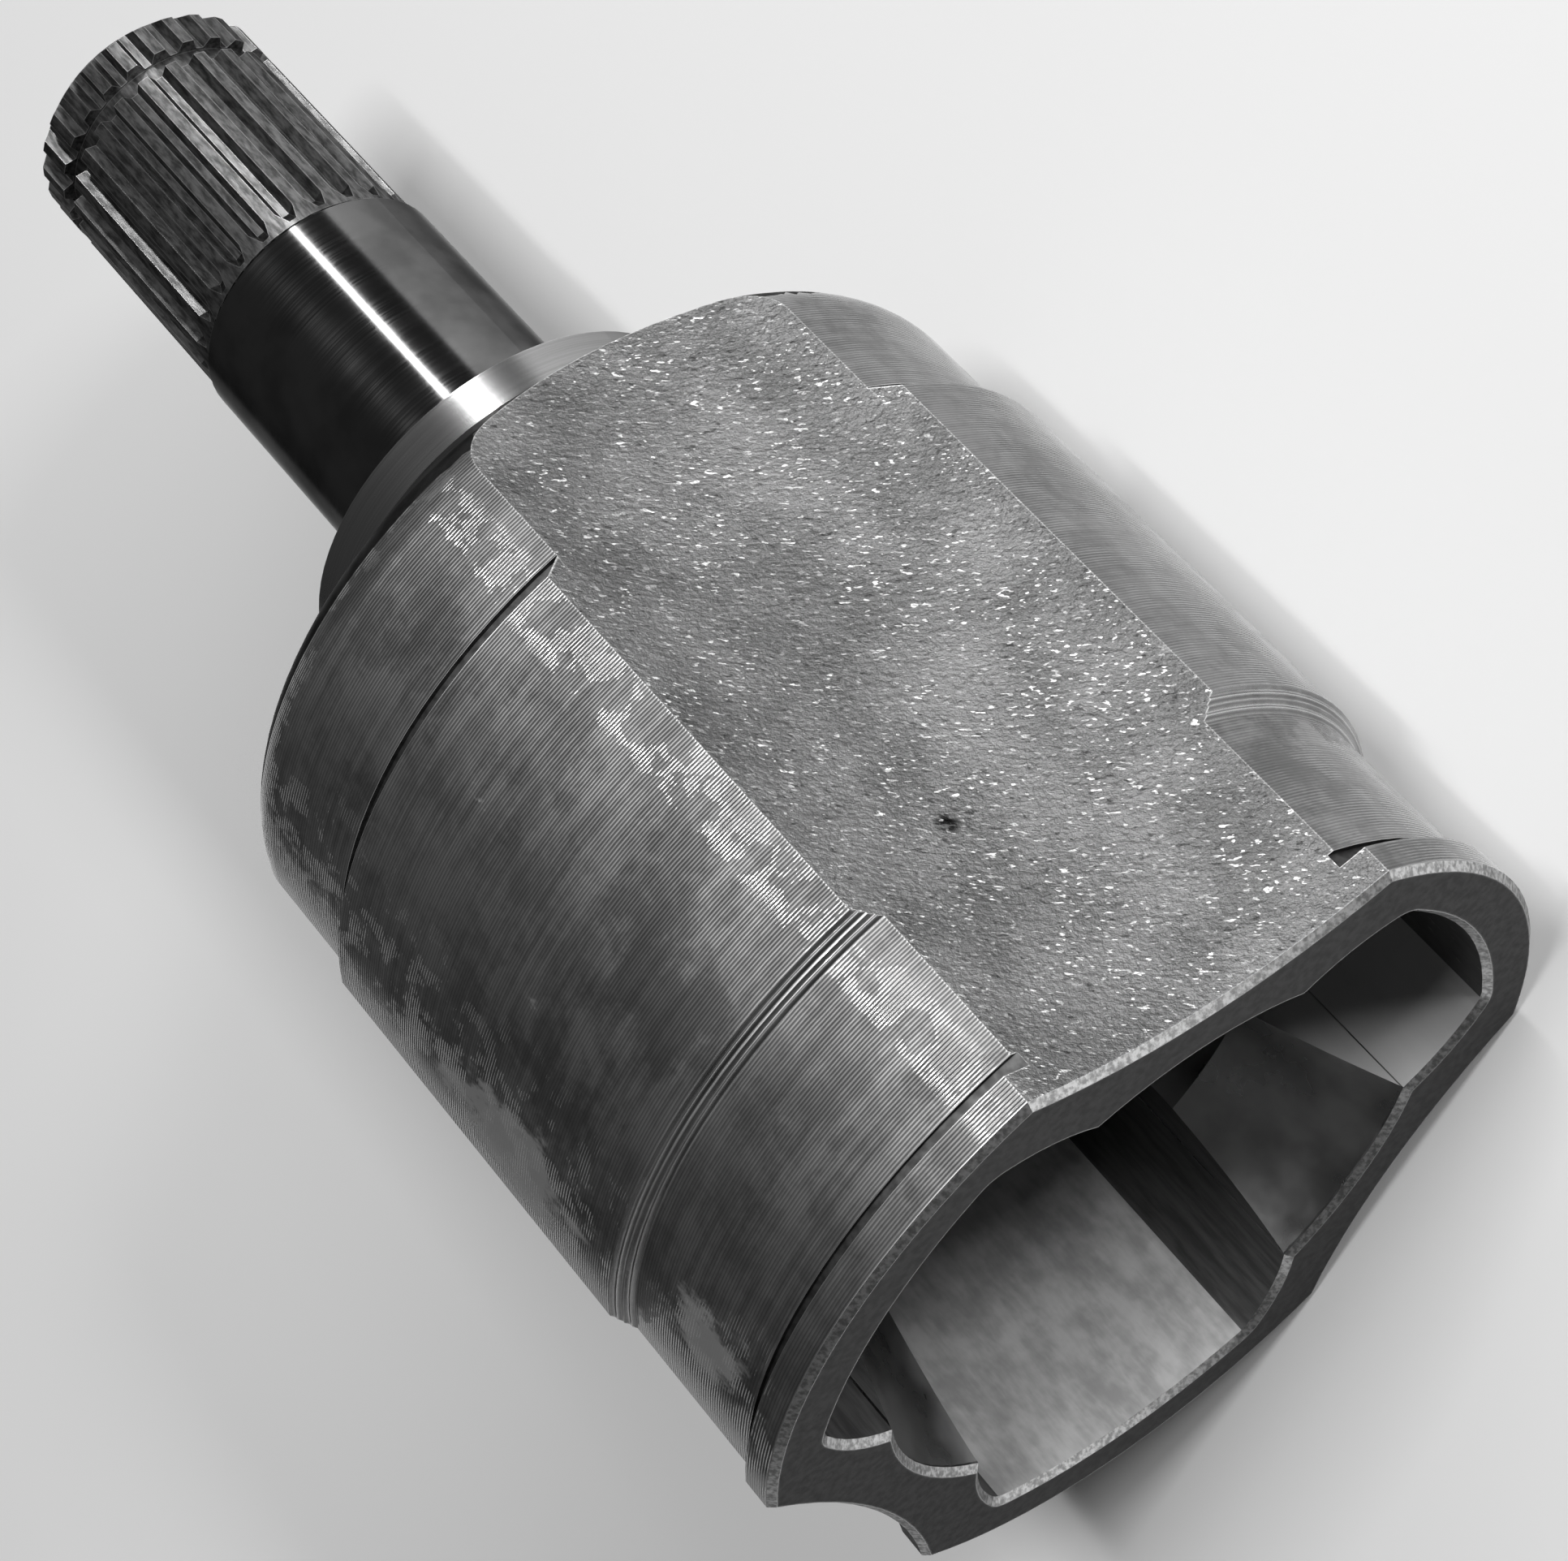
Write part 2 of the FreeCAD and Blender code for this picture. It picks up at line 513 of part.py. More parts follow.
doc.recompute()
for item in doc.Objects:
    if "Invalid" in item.State or "Error" in item.State:
        raise RuntimeError("%s is %s" % (item.Name, item.State))
os.makedirs("parts", exist_ok=True)
for item in pieces_out:
    if item.Shape.isNull() or not item.Shape.isValid():
        raise RuntimeError("%s has no valid shape" % item.Label)
    item.Shape.exportStep("parts/%s.step" % item.Label)
    box = item.Shape.BoundBox
    print("%-16s solids %2d  volume %9.1f  x %7.2f %7.2f  y %7.2f %7.2f  z %7.2f %7.2f" % (
        item.Label, len(item.Shape.Solids), item.Shape.Volume, box.XMin, box.XMax, box.YMin, box.YMax,
        box.ZMin, box.ZMax))
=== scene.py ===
# Tripod constant-velocity joint, gearbox side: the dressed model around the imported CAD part.
# Metres, in the CAD's own frame: X runs along the joint to its mouth, Z up through the first lobe.
import json
import math

import bmesh
import bpy
from mathutils import Matrix, Vector

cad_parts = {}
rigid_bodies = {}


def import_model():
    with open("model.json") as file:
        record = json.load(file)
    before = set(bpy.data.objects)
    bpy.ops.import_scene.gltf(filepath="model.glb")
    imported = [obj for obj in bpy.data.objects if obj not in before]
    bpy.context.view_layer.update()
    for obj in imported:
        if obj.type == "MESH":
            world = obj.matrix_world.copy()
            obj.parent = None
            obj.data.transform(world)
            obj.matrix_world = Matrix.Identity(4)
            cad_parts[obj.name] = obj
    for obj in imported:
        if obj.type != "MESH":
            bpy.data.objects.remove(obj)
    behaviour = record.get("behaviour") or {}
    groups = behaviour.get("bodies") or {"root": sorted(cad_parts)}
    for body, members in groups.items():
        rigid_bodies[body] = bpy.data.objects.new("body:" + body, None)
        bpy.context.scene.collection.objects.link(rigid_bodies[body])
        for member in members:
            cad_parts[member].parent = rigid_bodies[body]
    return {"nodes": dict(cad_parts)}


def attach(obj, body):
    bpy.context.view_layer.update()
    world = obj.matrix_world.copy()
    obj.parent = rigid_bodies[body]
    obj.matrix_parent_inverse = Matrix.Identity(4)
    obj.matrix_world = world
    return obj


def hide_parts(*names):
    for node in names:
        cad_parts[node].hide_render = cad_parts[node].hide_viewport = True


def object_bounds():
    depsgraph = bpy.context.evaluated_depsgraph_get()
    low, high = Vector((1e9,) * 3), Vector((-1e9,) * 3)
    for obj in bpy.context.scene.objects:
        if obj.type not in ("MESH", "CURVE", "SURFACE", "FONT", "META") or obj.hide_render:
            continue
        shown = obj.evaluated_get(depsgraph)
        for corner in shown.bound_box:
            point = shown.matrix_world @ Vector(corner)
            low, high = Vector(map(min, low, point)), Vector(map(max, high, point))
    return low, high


for leftover in list(bpy.data.objects):
    bpy.data.objects.remove(leftover)

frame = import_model()
nodes = frame["nodes"]
cad_low, cad_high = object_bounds()

# The camera: it looks down into the mouth from the side of the first lobe, over a long lens.
# It stands about 35 cm away, so that the joint fills the picture from corner to corner.
scene = bpy.context.scene
camera_data = bpy.data.cameras.new("camera")
camera_data.lens = 88.53
camera_data.sensor_width = 36.0
camera_data.clip_start = 0.02
camera_data.clip_end = 20.0
camera = bpy.data.objects.new("camera", camera_data)
scene.collection.objects.link(camera)
right = Vector((0.59760788, 0.42414238, -0.68041757)).normalized()
back = Vector((0.46553635, 0.50737416, 0.72515334)).normalized()
up = back.cross(right)
stand = Matrix((right, up, back)).transposed().to_4x4()
stand.translation = Vector((0.20141, 0.17703, 0.24946))
camera.matrix_world = stand
scene.camera = camera

# The housing: one steel forging, turned outside, ground on the oil seal's journal and splined at its end.
# The scallops between the lobes stay as forged and shot-blasted; the tracks inside are finished smooth.
# Its CAD shape also gets a relief behind the main body, a wider undercut, and lands that open to a cone.
MM = 0.001
WELD = 2e-6
BAND_R, BODY_R = 39.45, 41.0
SCALLOP_R, SCALLOP_FROM_AXIS = 57.6, 91.4
LOBE_TURN = 2 * math.pi / 3
housing_mesh = nodes["housing"].data.copy()
housing_mesh.name = "housing_steel"
housing_mesh.materials.clear()
facing = housing_mesh.attributes.new("facing", "FLOAT_VECTOR", "CORNER")
for corner, kept in zip(nodes["housing"].data.corner_normals, facing.data):
    kept.vector = corner.vector
housing_blank = bmesh.new()
housing_blank.from_mesh(housing_mesh)
facing = housing_blank.loops.layers.float_vector["facing"]
bmesh.ops.remove_doubles(housing_blank, verts=housing_blank.verts, dist=WELD)
lobe_ways = [Vector((0, math.sin(a), math.cos(a))) for a in (0, LOBE_TURN, -LOBE_TURN)]
scallop_ways = [Vector((0, math.sin(a), math.cos(a))) for a in (math.pi, LOBE_TURN / 2, -LOBE_TURN / 2)]


def from_axis(place):
    return math.hypot(place.y, place.z) / MM


def off_circle(place, ways, middle, radius):
    """How many millimetres a place lies from the nearest of three like circles round the axis."""
    out = Vector((0, place.y, place.z)) / MM
    return min(abs((out - way * middle).length - radius) for way in ways)


def scallop_edge(way, side, radius, past=0.0):
    """A scallop's edge at this radius, in millimetres, or so many degrees past it round the lobe."""
    cosine = (radius ** 2 + SCALLOP_FROM_AXIS ** 2 - SCALLOP_R ** 2) / (2 * radius * SCALLOP_FROM_AXIS)
    return Matrix.Rotation(side * (math.acos(cosine) + math.radians(past)), 3, "X") @ way * radius


def split_band(first, last, cut_at, cut_way, side=None):
    """Splits the rear band between two places along X by a plane, on one side of the axis or all round."""
    faces = [face for face in housing_blank.faces if abs(face.normal.x) < 0.3 and all(
        first < vert.co.x / MM < last and abs(from_axis(vert.co) - BAND_R) < BAND_NEAR
        and (side is None or vert.co.dot(side) > BESIDE * MM) for vert in face.verts)]
    edges = list(dict.fromkeys(edge for face in faces for edge in face.edges))
    verts = list(dict.fromkeys(vert for face in faces for vert in face.verts))
    bmesh.ops.bisect_plane(housing_blank, geom=faces + edges + verts, dist=1e-7,
                           plane_co=cut_at, plane_no=cut_way)


# the rear band is split where the relief starts, and just short of each scallop, where it runs out
BAND_START, BAND_END, BAND_PAST, BAND_NEAR, BESIDE = 20.5, 31.8, 33.9, 0.25, 30.0
RELIEF_WALL, RELIEF_END, RELIEF_DEEP, RUN_OUT = 0.05, 33.7, 0.4, 1.2
for wall in (BAND_END - RELIEF_WALL, BAND_END + RELIEF_WALL):
    split_band(BAND_START, BAND_PAST, (wall * MM, 0, 0), (1, 0, 0))
wedges = []
for way in scallop_ways:
    for side in (-1, 1):
        low_edge = scallop_edge(way, side, BAND_R)
        run_out = scallop_edge(way, side, BAND_R, RUN_OUT).normalized()
        split_band(BAND_END, BAND_PAST, (0, 0, 0), run_out.cross(Vector((1, 0, 0))), run_out)
        wedges.append([Vector((x, 0, 0)) + place for x, place in (
            (BAND_END + RELIEF_WALL, low_edge), (RELIEF_END, low_edge),
            (RELIEF_END, scallop_edge(way, side, BODY_R)),
            (RELIEF_END, run_out * (BAND_R - RELIEF_DEEP)))])

# the relief is sunk, and the walls of the step and of the undercut are moved along
TURNED_FROM_R, WALL_NEAR, ON_WALL, ON_EDGE = 39.0, 0.06, 0.04, 0.05
UNDERCUT_FROM, UNDERCUT_TO = 91.2, 92.6
MOVED_WALLS = ((33.8, RELIEF_END), (91.9, UNDERCUT_FROM), (92.4, UNDERCUT_TO))
GROOVES = ((BAND_END, RELIEF_END), (UNDERCUT_FROM, UNDERCUT_TO))
for vert in housing_blank.verts:
    along, radius = vert.co.x / MM, from_axis(vert.co)
    on_edge = off_circle(vert.co, scallop_ways, SCALLOP_FROM_AXIS, SCALLOP_R) < ON_EDGE
    if BAND_END < along < BAND_PAST and abs(radius - BAND_R) < BAND_NEAR and not on_edge:
        vert.co.yz = vert.co.yz * (1.0 - RELIEF_DEEP / radius)
    for wall, moved_to in MOVED_WALLS:
        if radius > TURNED_FROM_R and abs(along - wall) < WALL_NEAR:
            vert.co.x = moved_to * MM
housing_blank.normal_update()
for face in housing_blank.faces:
    face.smooth = True
    middle = face.calc_center_median()
    if abs(middle.x / MM - BAND_END) < ON_WALL and from_axis(middle) > TURNED_FROM_R:
        for corner in face.loops:
            corner[facing] = face.normal

# the lands: a sleeve in the bore, coned at the mouth so that the half-shaft can lean, and cut by three tracks
LAND_R, CONE_FROM, CONE_R, SLEEVE_R = 23.5, 80.1, 28.27, 28.5
SLEEVE_FROM, SLEEVE_TO, SHARP_FROM = 23.4, 95.3, 0.2
CORE_R, CORE_FROM_AXIS, CORE_AT, CORE_LONG = 17.5, 22.55, 60.0, 100.0
sleeve = bmesh.new()
corners = [sleeve.verts.new((x * MM, 0, r * MM)) for x, r in (
    (SLEEVE_FROM, LAND_R), (CONE_FROM, LAND_R), (SLEEVE_TO, CONE_R),
    (SLEEVE_TO, SLEEVE_R), (SLEEVE_FROM, SLEEVE_R))]
sides = [sleeve.edges.new((corners[i - 1], corners[i])) for i in range(len(corners))]
bmesh.ops.spin(sleeve, geom=corners + sides, cent=(0, 0, 0), axis=(1, 0, 0), angle=2 * math.pi,
               steps=180, use_merge=True)
bmesh.ops.recalc_face_normals(sleeve, faces=sleeve.faces)
cores = bmesh.new()
for way in lobe_ways:
    place = Vector((CORE_AT, 0, 0)) + way * CORE_FROM_AXIS
    bmesh.ops.create_cone(cores, cap_ends=True, segments=160, radius1=CORE_R * MM, radius2=CORE_R * MM,
                          depth=CORE_LONG * MM,
                          matrix=Matrix.Translation(place * MM) @ Matrix.Rotation(math.pi / 2, 4, "Y"))
lands = []
for name, shape in (("sleeve", sleeve), ("cores", cores)):
    mesh = bpy.data.meshes.new(name)
    shape.to_mesh(mesh)
    shape.free()
    lands.append(bpy.data.objects.new(name, mesh))
    scene.collection.objects.link(lands[-1])
track_cut = lands[0].modifiers.new("tracks", "BOOLEAN")
track_cut.object = lands[1]
track_cut.solver = "EXACT"
cut_sleeve = lands[0].evaluated_get(bpy.context.evaluated_depsgraph_get())
cut_lands = bpy.data.meshes.new_from_object(cut_sleeve)
for blank in lands:
    bpy.data.objects.remove(blank)
forging_faces = set(housing_blank.faces)
housing_blank.from_mesh(cut_lands)
for face in set(housing_blank.faces) - forging_faces:
    face.smooth = True
    for edge in face.edges:
        edge.smooth = edge.calc_face_angle(0.0) < SHARP_FROM

# the wedges that close the relief's ends at the scallops
wedge_faces = set()
for places in wedges:
    points = [housing_blank.verts.new(place * MM) for place in places]
    wedge = bmesh.ops.convex_hull(housing_blank, input=points)
    wedge_faces.update(item for item in wedge["geom"] if isinstance(item, bmesh.types.BMFace))

# each face takes the finish that the shop gave it, with shade painted on the mouth's face and in the grooves;
# the steels below are added in this order
FORGED, TURNED, GROUND, CUT, FACED, FLANK, CHAMFER, CONE, RELIEF, CROWN, LAND, COLLAR = range(12)
SPLINE_TO, COLLAR_TO, CONE_TO, POCKET_FROM, RIM_FROM = -32.7, 4.25, 17.8, 19.0, 95.3
JOURNAL_TO_R, BORE_TO_R, FLOOR_TO_R, RELIEF_TO_R = 13.7, 28.4, 36.0, 39.42
TRACK_R, TRACK_FROM_AXIS = 17.45, 22.7
CROWN_R, CROWN_FROM_AXIS = 40.0, -4.8
ON_FACE = 0.12
for face in housing_blank.faces:
    place = face.calc_center_median()
    along, radius = place.x / MM, from_axis(place)
    lean = face.normal.dot(Vector((0, place.y, place.z))) / MM / max(radius, 1e-6)
    on_scallop = off_circle(place, scallop_ways, SCALLOP_FROM_AXIS, SCALLOP_R) < ON_FACE
    in_groove = any(start - WALL_NEAR < along < end + WALL_NEAR for start, end in GROOVES)
    if face in wedge_faces:
        face.material_index = FORGED if on_scallop else RELIEF
    elif face not in forging_faces:
        face.material_index = LAND if abs(lean) > 0.6 or radius < LAND_R + 0.1 else FLANK
    elif along > RIM_FROM:
        face.material_index = FACED if face.normal.x > 0.95 else CHAMFER
    elif along < SPLINE_TO:
        face.material_index = CUT
    elif along < COLLAR_TO:
        face.material_index = COLLAR if radius > JOURNAL_TO_R else GROUND
    elif along > POCKET_FROM and (
            radius < BORE_TO_R or lean < 0.0 or (face.normal.x > 0.9 and radius < FLOOR_TO_R)):
        on_flank = off_circle(place, lobe_ways, TRACK_FROM_AXIS, TRACK_R) < ON_FACE
        on_crown = off_circle(place, lobe_ways, CROWN_FROM_AXIS, CROWN_R) < ON_FACE
        inside = FLANK if on_flank or radius > BORE_TO_R + 0.2 else LAND
        face.material_index = CROWN if on_crown else inside
    elif on_scallop and lean > 0.7 and not (radius > 38.5 and lean > 0.99):
        face.material_index = FORGED
    elif along < CONE_TO:
        face.material_index = CONE
    elif radius < RELIEF_TO_R and in_groove:
        face.material_index = RELIEF
    else:
        face.material_index = TURNED
housing_blank.to_mesh(housing_mesh)
housing_blank.free()
exact = [Vector(corner.vector) for corner in housing_mesh.attributes["facing"].data]
housing_mesh.normals_split_custom_set(exact)
housing = bpy.data.objects.new("housing_forging", housing_mesh)
scene.collection.objects.link(housing)
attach(housing, "housing")
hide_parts("housing")


def link(tree, source, target):
    tree.links.new(source, target)


def steel(name, shade, rough, metallic=1.0):
    """A bare steel: an empty node tree with its shader, ready for the marks of its finish."""
    material = bpy.data.materials.new(name)
    material.use_nodes = True
    tree = material.node_tree
    shader = tree.nodes["Principled BSDF"]
    shader.inputs["Base Color"].default_value = (shade, shade, shade * 1.005, 1)
    shader.inputs["Roughness"].default_value = rough
    shader.inputs["Metallic"].default_value = metallic
    shader.inputs["Specular Tint"].default_value = (0.3, 0.3, 0.3, 1)
    return material, tree, shader


def place_of(tree, scale=(1, 1, 1)):
    """Object coordinates in millimetres, stretched by scale."""
    coordinates = tree.nodes.new("ShaderNodeTexCoord")
    mapping = tree.nodes.new("ShaderNodeMapping")
    mapping.inputs["Scale"].default_value = [1000 * s for s in scale]
    link(tree, coordinates.outputs["Object"], mapping.inputs["Vector"])
    return mapping.outputs["Vector"]


def noise(tree, where, scale, detail=2.0, rough=0.5):
    """Cloudy values about a half, so many clouds to the millimetre."""
    texture = tree.nodes.new("ShaderNodeTexNoise")
    texture.inputs["Scale"].default_value = scale
    texture.inputs["Detail"].default_value = detail
    texture.inputs["Roughness"].default_value = rough
    link(tree, where, texture.inputs["Vector"])
    return texture.outputs["Fac"]


def span(tree, value, low, high, out_low=0.0, out_high=1.0):
    """The value between low and high, drawn out smoothly to the two new ends."""
    node = tree.nodes.new("ShaderNodeMapRange")
    node.interpolation_type = "SMOOTHSTEP"
    ends = (("From Min", low), ("From Max", high), ("To Min", out_low), ("To Max", out_high))
    for key, number in ends:
        node.inputs[key].default_value = number
    link(tree, value, node.inputs["Value"])
    return node.outputs["Result"]


def work(tree, operation, a, b):
    """The sum, product or greater of two values, each a socket or a number."""
    node = tree.nodes.new("ShaderNodeMath")
    node.operation = operation
    for socket, item in zip(node.inputs, (a, b)):
        if isinstance(item, (int, float)):
            socket.default_value = item
        else:
            link(tree, item, socket)
    return node.outputs[0]


def blend(tree, a, share_a, b, share_b):
    """Two values added up, each in its share."""
    return work(tree, "ADD", work(tree, "MULTIPLY", a, share_a), work(tree, "MULTIPLY", b, share_b))


def shade_between(tree, factor, dark, light):
    """A grey from dark to light."""
    node = tree.nodes.new("ShaderNodeMix")
    node.data_type = "RGBA"
    node.inputs["A"].default_value = (dark, dark, dark, 1)
    node.inputs["B"].default_value = (light, light, light, 1)
    link(tree, factor, node.inputs["Factor"])
    return node.outputs["Result"]


def over(tree, under, factor, grey):
    """A grey laid over a colour."""
    node = tree.nodes.new("ShaderNodeMix")
    node.data_type = "RGBA"
    node.inputs["B"].default_value = (grey, grey, grey, 1)
    link(tree, under, node.inputs["A"])
    link(tree, factor, node.inputs["Factor"])
    return node.outputs["Result"]


def bump(tree, shader, height, distance, strength):
    node = tree.nodes.new("ShaderNodeBump")
    node.inputs["Distance"].default_value = distance
    node.inputs["Strength"].default_value = strength
    link(tree, height, node.inputs["Height"])
    link(tree, node.outputs["Normal"], shader.inputs["Normal"])


def edge_wear_and_highlight(tree, radius):
    """One on the edges of the piece, painted bright as wear and as a painted highlight, and nought away from
    them.
    """
    rounded = tree.nodes.new("ShaderNodeBevel")
    rounded.samples = 6
    rounded.inputs["Radius"].default_value = radius
    plain = tree.nodes.new("ShaderNodeNewGeometry")
    likeness = tree.nodes.new("ShaderNodeVectorMath")
    likeness.operation = "DOT_PRODUCT"
    link(tree, rounded.outputs["Normal"], likeness.inputs[0])
    link(tree, plain.outputs["Normal"], likeness.inputs[1])
    return span(tree, likeness.outputs["Value"], 0.99, 0.93)


def near(tree, middle, inside, outside, length=1.0):
    """One within so many millimetres of a place, and nought further out; length draws it out along X."""
    distance = tree.nodes.new("ShaderNodeVectorMath")
    distance.operation = "DISTANCE"
    link(tree, place_of(tree, (1.0 / length, 1.0, 1.0)), distance.inputs[0])
    distance.inputs[1].default_value = (middle[0] / length, middle[1], middle[2])
    return span(tree, distance.outputs["Value"], inside, outside, 1.0, 0.0)


# as forged and shot-blasted: grey and dented by the shot, with small bright flecks painted as glints, painted
# shade in its pits, edges painted bright as wear and highlight, and one scuff
FLECK_WAY, FLECK_LENGTH = Vector((0.6, 0.42, -0.68)), 2.6
SCUFF_AT = (70.6, 26.1, 21.8)
forged, tree, shader = steel("steel_as_forged", 0.3, 0.55)
spots = place_of(tree)
slant = tree.nodes.new("ShaderNodeMapping")
slant.vector_type = "TEXTURE"
turn = Vector((1, 0, 0)).rotation_difference(FLECK_WAY)
slant.inputs["Rotation"].default_value = turn.to_euler()
slant.inputs["Scale"].default_value = (FLECK_LENGTH, 1.0, 1.0)
link(tree, spots, slant.inputs["Vector"])
scales = slant.outputs["Vector"]
dents = noise(tree, scales, scale=1.6, detail=4.0, rough=0.62)
dimples = noise(tree, spots, scale=1.9, detail=4.0, rough=0.62)
patches = noise(tree, spots, scale=0.12, detail=3.0, rough=0.55)
grain = noise(tree, spots, scale=5.0, detail=2.0, rough=0.6)
glint_fleck = span(tree, noise(tree, scales, scale=3.4, detail=1.0), 0.63, 0.69)
clusters = span(tree, noise(tree, spots, scale=0.2, detail=3.0, rough=0.55), 0.42, 0.6)
glint_fleck = work(tree, "MULTIPLY", glint_fleck, span(tree, clusters, 0.0, 1.0, 0.35, 1.0))
pit_shade = span(tree, noise(tree, scales, scale=2.4), 0.38, 0.28, 0.0, 0.7)
scuff = near(tree, SCUFF_AT, inside=0.7, outside=1.5)
scuff = work(tree, "MULTIPLY", scuff, span(tree, dents, 0.4, 0.5, 0.3, 1.0))
tone = span(tree, blend(tree, patches, 0.6, grain, 0.4), 0.35, 0.65)
tone = shade_between(tree, tone, dark=0.13, light=0.23)
tone = over(tree, tone, pit_shade, grey=0.03)
tone = over(tree, tone, scuff, grey=0.01)
tone = over(tree, tone, glint_fleck, grey=0.7)
tone = over(tree, tone, edge_wear_and_highlight(tree, radius=0.0002), grey=0.6)
link(tree, tone, shader.inputs["Base Color"])
link(tree, span(tree, glint_fleck, 0.0, 1.0, 0.52, 0.3), shader.inputs["Roughness"])
bump(tree, shader, blend(tree, dents, 0.5, dimples, 0.5), distance=0.0005, strength=1.0)
housing_mesh.materials.append(forged)


# turned: fine feed marks round the lobes, painted bright where they run out at the scallops, as wear and as a
# painted highlight, and stained by oil
def feed_marks(tree, pitch):
    """The ribs that the turning tool leaves round the X axis, one every pitch millimetres."""
    ribs = tree.nodes.new("ShaderNodeTexWave")
    ribs.bands_direction = "X"
    ribs.inputs["Scale"].default_value = 0.3142 / pitch
    ribs.inputs["Distortion"].default_value = 1.6
    ribs.inputs["Detail"].default_value = 2.0
    ribs.inputs["Detail Scale"].default_value = 0.7
    link(tree, place_of(tree, (1.0, 0.12, 0.12)), ribs.inputs["Vector"])
    return ribs.outputs["Fac"]


FEED = 0.31
REAR_PATCH_AT, SEAT_PATCH_AT = (59.0, -17.0, 37.0), (84.5, -14.0, 37.5)
turned, tree, shader = steel("steel_turned", 0.33, 0.5)
ribs = feed_marks(tree, FEED)
stains = noise(tree, place_of(tree), scale=0.13, detail=5.0, rough=0.7)
smears = noise(tree, place_of(tree, (1.3, 0.05, 0.05)), scale=1.0, detail=3.0, rough=0.6)
oil = noise(tree, place_of(tree, (1.0, 0.8, 0.8)), scale=0.07, detail=6.0, rough=0.7)
ragged = noise(tree, place_of(tree, (0.7, 1.0, 1.0)), scale=0.22, detail=4.0, rough=0.72)
rear_patch = near(tree, REAR_PATCH_AT, inside=0.0, outside=10.0, length=2.0)
seat_patch = near(tree, SEAT_PATCH_AT, inside=0.0, outside=8.0)
wiped = work(tree, "MAXIMUM", rear_patch, seat_patch)
dry = span(tree, work(tree, "ADD", ragged, work(tree, "MULTIPLY", wiped, 0.45)), 0.68, 0.84)
tone = span(tree, blend(tree, stains, 0.6, smears, 0.4), 0.38, 0.62)
tone = shade_between(tree, tone, dark=0.15, light=0.28)
tone = over(tree, tone, span(tree, ribs, 0.45, 0.1, 0.0, 0.4), grey=0.04)
tone = over(tree, tone, span(tree, oil, 0.5, 0.62, 0.0, 0.55), grey=0.06)
tone = over(tree, tone, work(tree, "MULTIPLY", dry, 0.85), grey=0.75)
edge_ticks_worn_and_lit = work(tree, "MULTIPLY", edge_wear_and_highlight(tree, radius=0.0003), span(tree, ribs, 0.3, 0.8, 0.2, 1.0))
link(tree, over(tree, tone, edge_ticks_worn_and_lit, grey=0.85), shader.inputs["Base Color"])
wet_ribs = work(tree, "MULTIPLY", ribs, span(tree, dry, 0.0, 0.6, 1.0, 0.0))
bump(tree, shader, wet_ribs, distance=0.00004, strength=0.5)
link(tree, span(tree, dry, 0.0, 1.0, 1.0, 0.3), shader.inputs["Coat Weight"])
shader.inputs["Coat Roughness"].default_value = 0.04
glints = tree.nodes.new("ShaderNodeBump")
glints.inputs["Distance"].default_value = 0.00005
film = noise(tree, place_of(tree), scale=0.3, detail=3.0, rough=0.6)
link(tree, ribs, glints.inputs["Height"])
link(tree, span(tree, film, 0.42, 0.6, 0.2, 1.0), glints.inputs["Strength"])
link(tree, glints.outputs["Normal"], shader.inputs["Coat Normal"])
housing_mesh.materials.append(turned)


# ground: the oil seal's journal, smooth and bright
def spread_along(tree, shader, amount):
    """Marks that run round the X axis spread a highlight along it."""
    axis = tree.nodes.new("ShaderNodeCombineXYZ")
    axis.inputs["X"].default_value = 1.0
    link(tree, axis.outputs["Vector"], shader.inputs["Tangent"])
    shader.inputs["Anisotropic"].default_value = amount


ground, tree, shader = steel("steel_ground", 0.12, 0.16)
rings = noise(tree, place_of(tree, (9.0, 0.03, 0.03)), scale=1.0, detail=3.0, rough=0.6)
clouds = noise(tree, place_of(tree), scale=0.2, detail=3.0)
link(tree, span(tree, rings, 0.3, 0.7, 0.12, 0.19), shader.inputs["Roughness"])
tone = shade_between(tree, span(tree, clouds, 0.3, 0.7), dark=0.14, light=0.2)
# the edges are painted bright, as wear and as a painted highlight
link(tree, over(tree, tone, edge_wear_and_highlight(tree, radius=0.0001), grey=0.5), shader.inputs["Base Color"])
spread_along(tree, shader, 0.8)
bump(tree, shader, rings, distance=0.000004, strength=0.4)
housing_mesh.materials.append(ground)

# cut: the spline, mottled lighter and darker
cut, tree, shader = steel("steel_spline", 0.25, 0.36)
marks = noise(tree, place_of(tree, (0.5, 2.0, 2.0)), scale=1.0, detail=3.0, rough=0.6)
tone = shade_between(tree, span(tree, marks, 0.3, 0.7), dark=0.08, light=0.25)
# the edges are painted bright, as wear and as a painted highlight
link(tree, over(tree, tone, edge_wear_and_highlight(tree, radius=0.00015), grey=0.5), shader.inputs["Base Color"])
bump(tree, shader, marks, distance=0.00004, strength=0.6)
housing_mesh.materials.append(cut)

# faced: the mouth's rim, dull, painted dark as a painted reflection of dark surroundings, with edges painted
# bright as wear and highlight
faced, tree, shader = steel("steel_faced_painted_dark", 0.12, 0.5)
where = noise(tree, place_of(tree), scale=1.2, detail=3.0, rough=0.6)
tone = shade_between(tree, span(tree, where, 0.3, 0.7), dark=0.1, light=0.13)
link(tree, over(tree, tone, edge_wear_and_highlight(tree, radius=0.0003), grey=0.85), shader.inputs["Base Color"])
bump(tree, shader, where, distance=0.00001, strength=0.3)
housing_mesh.materials.append(faced)


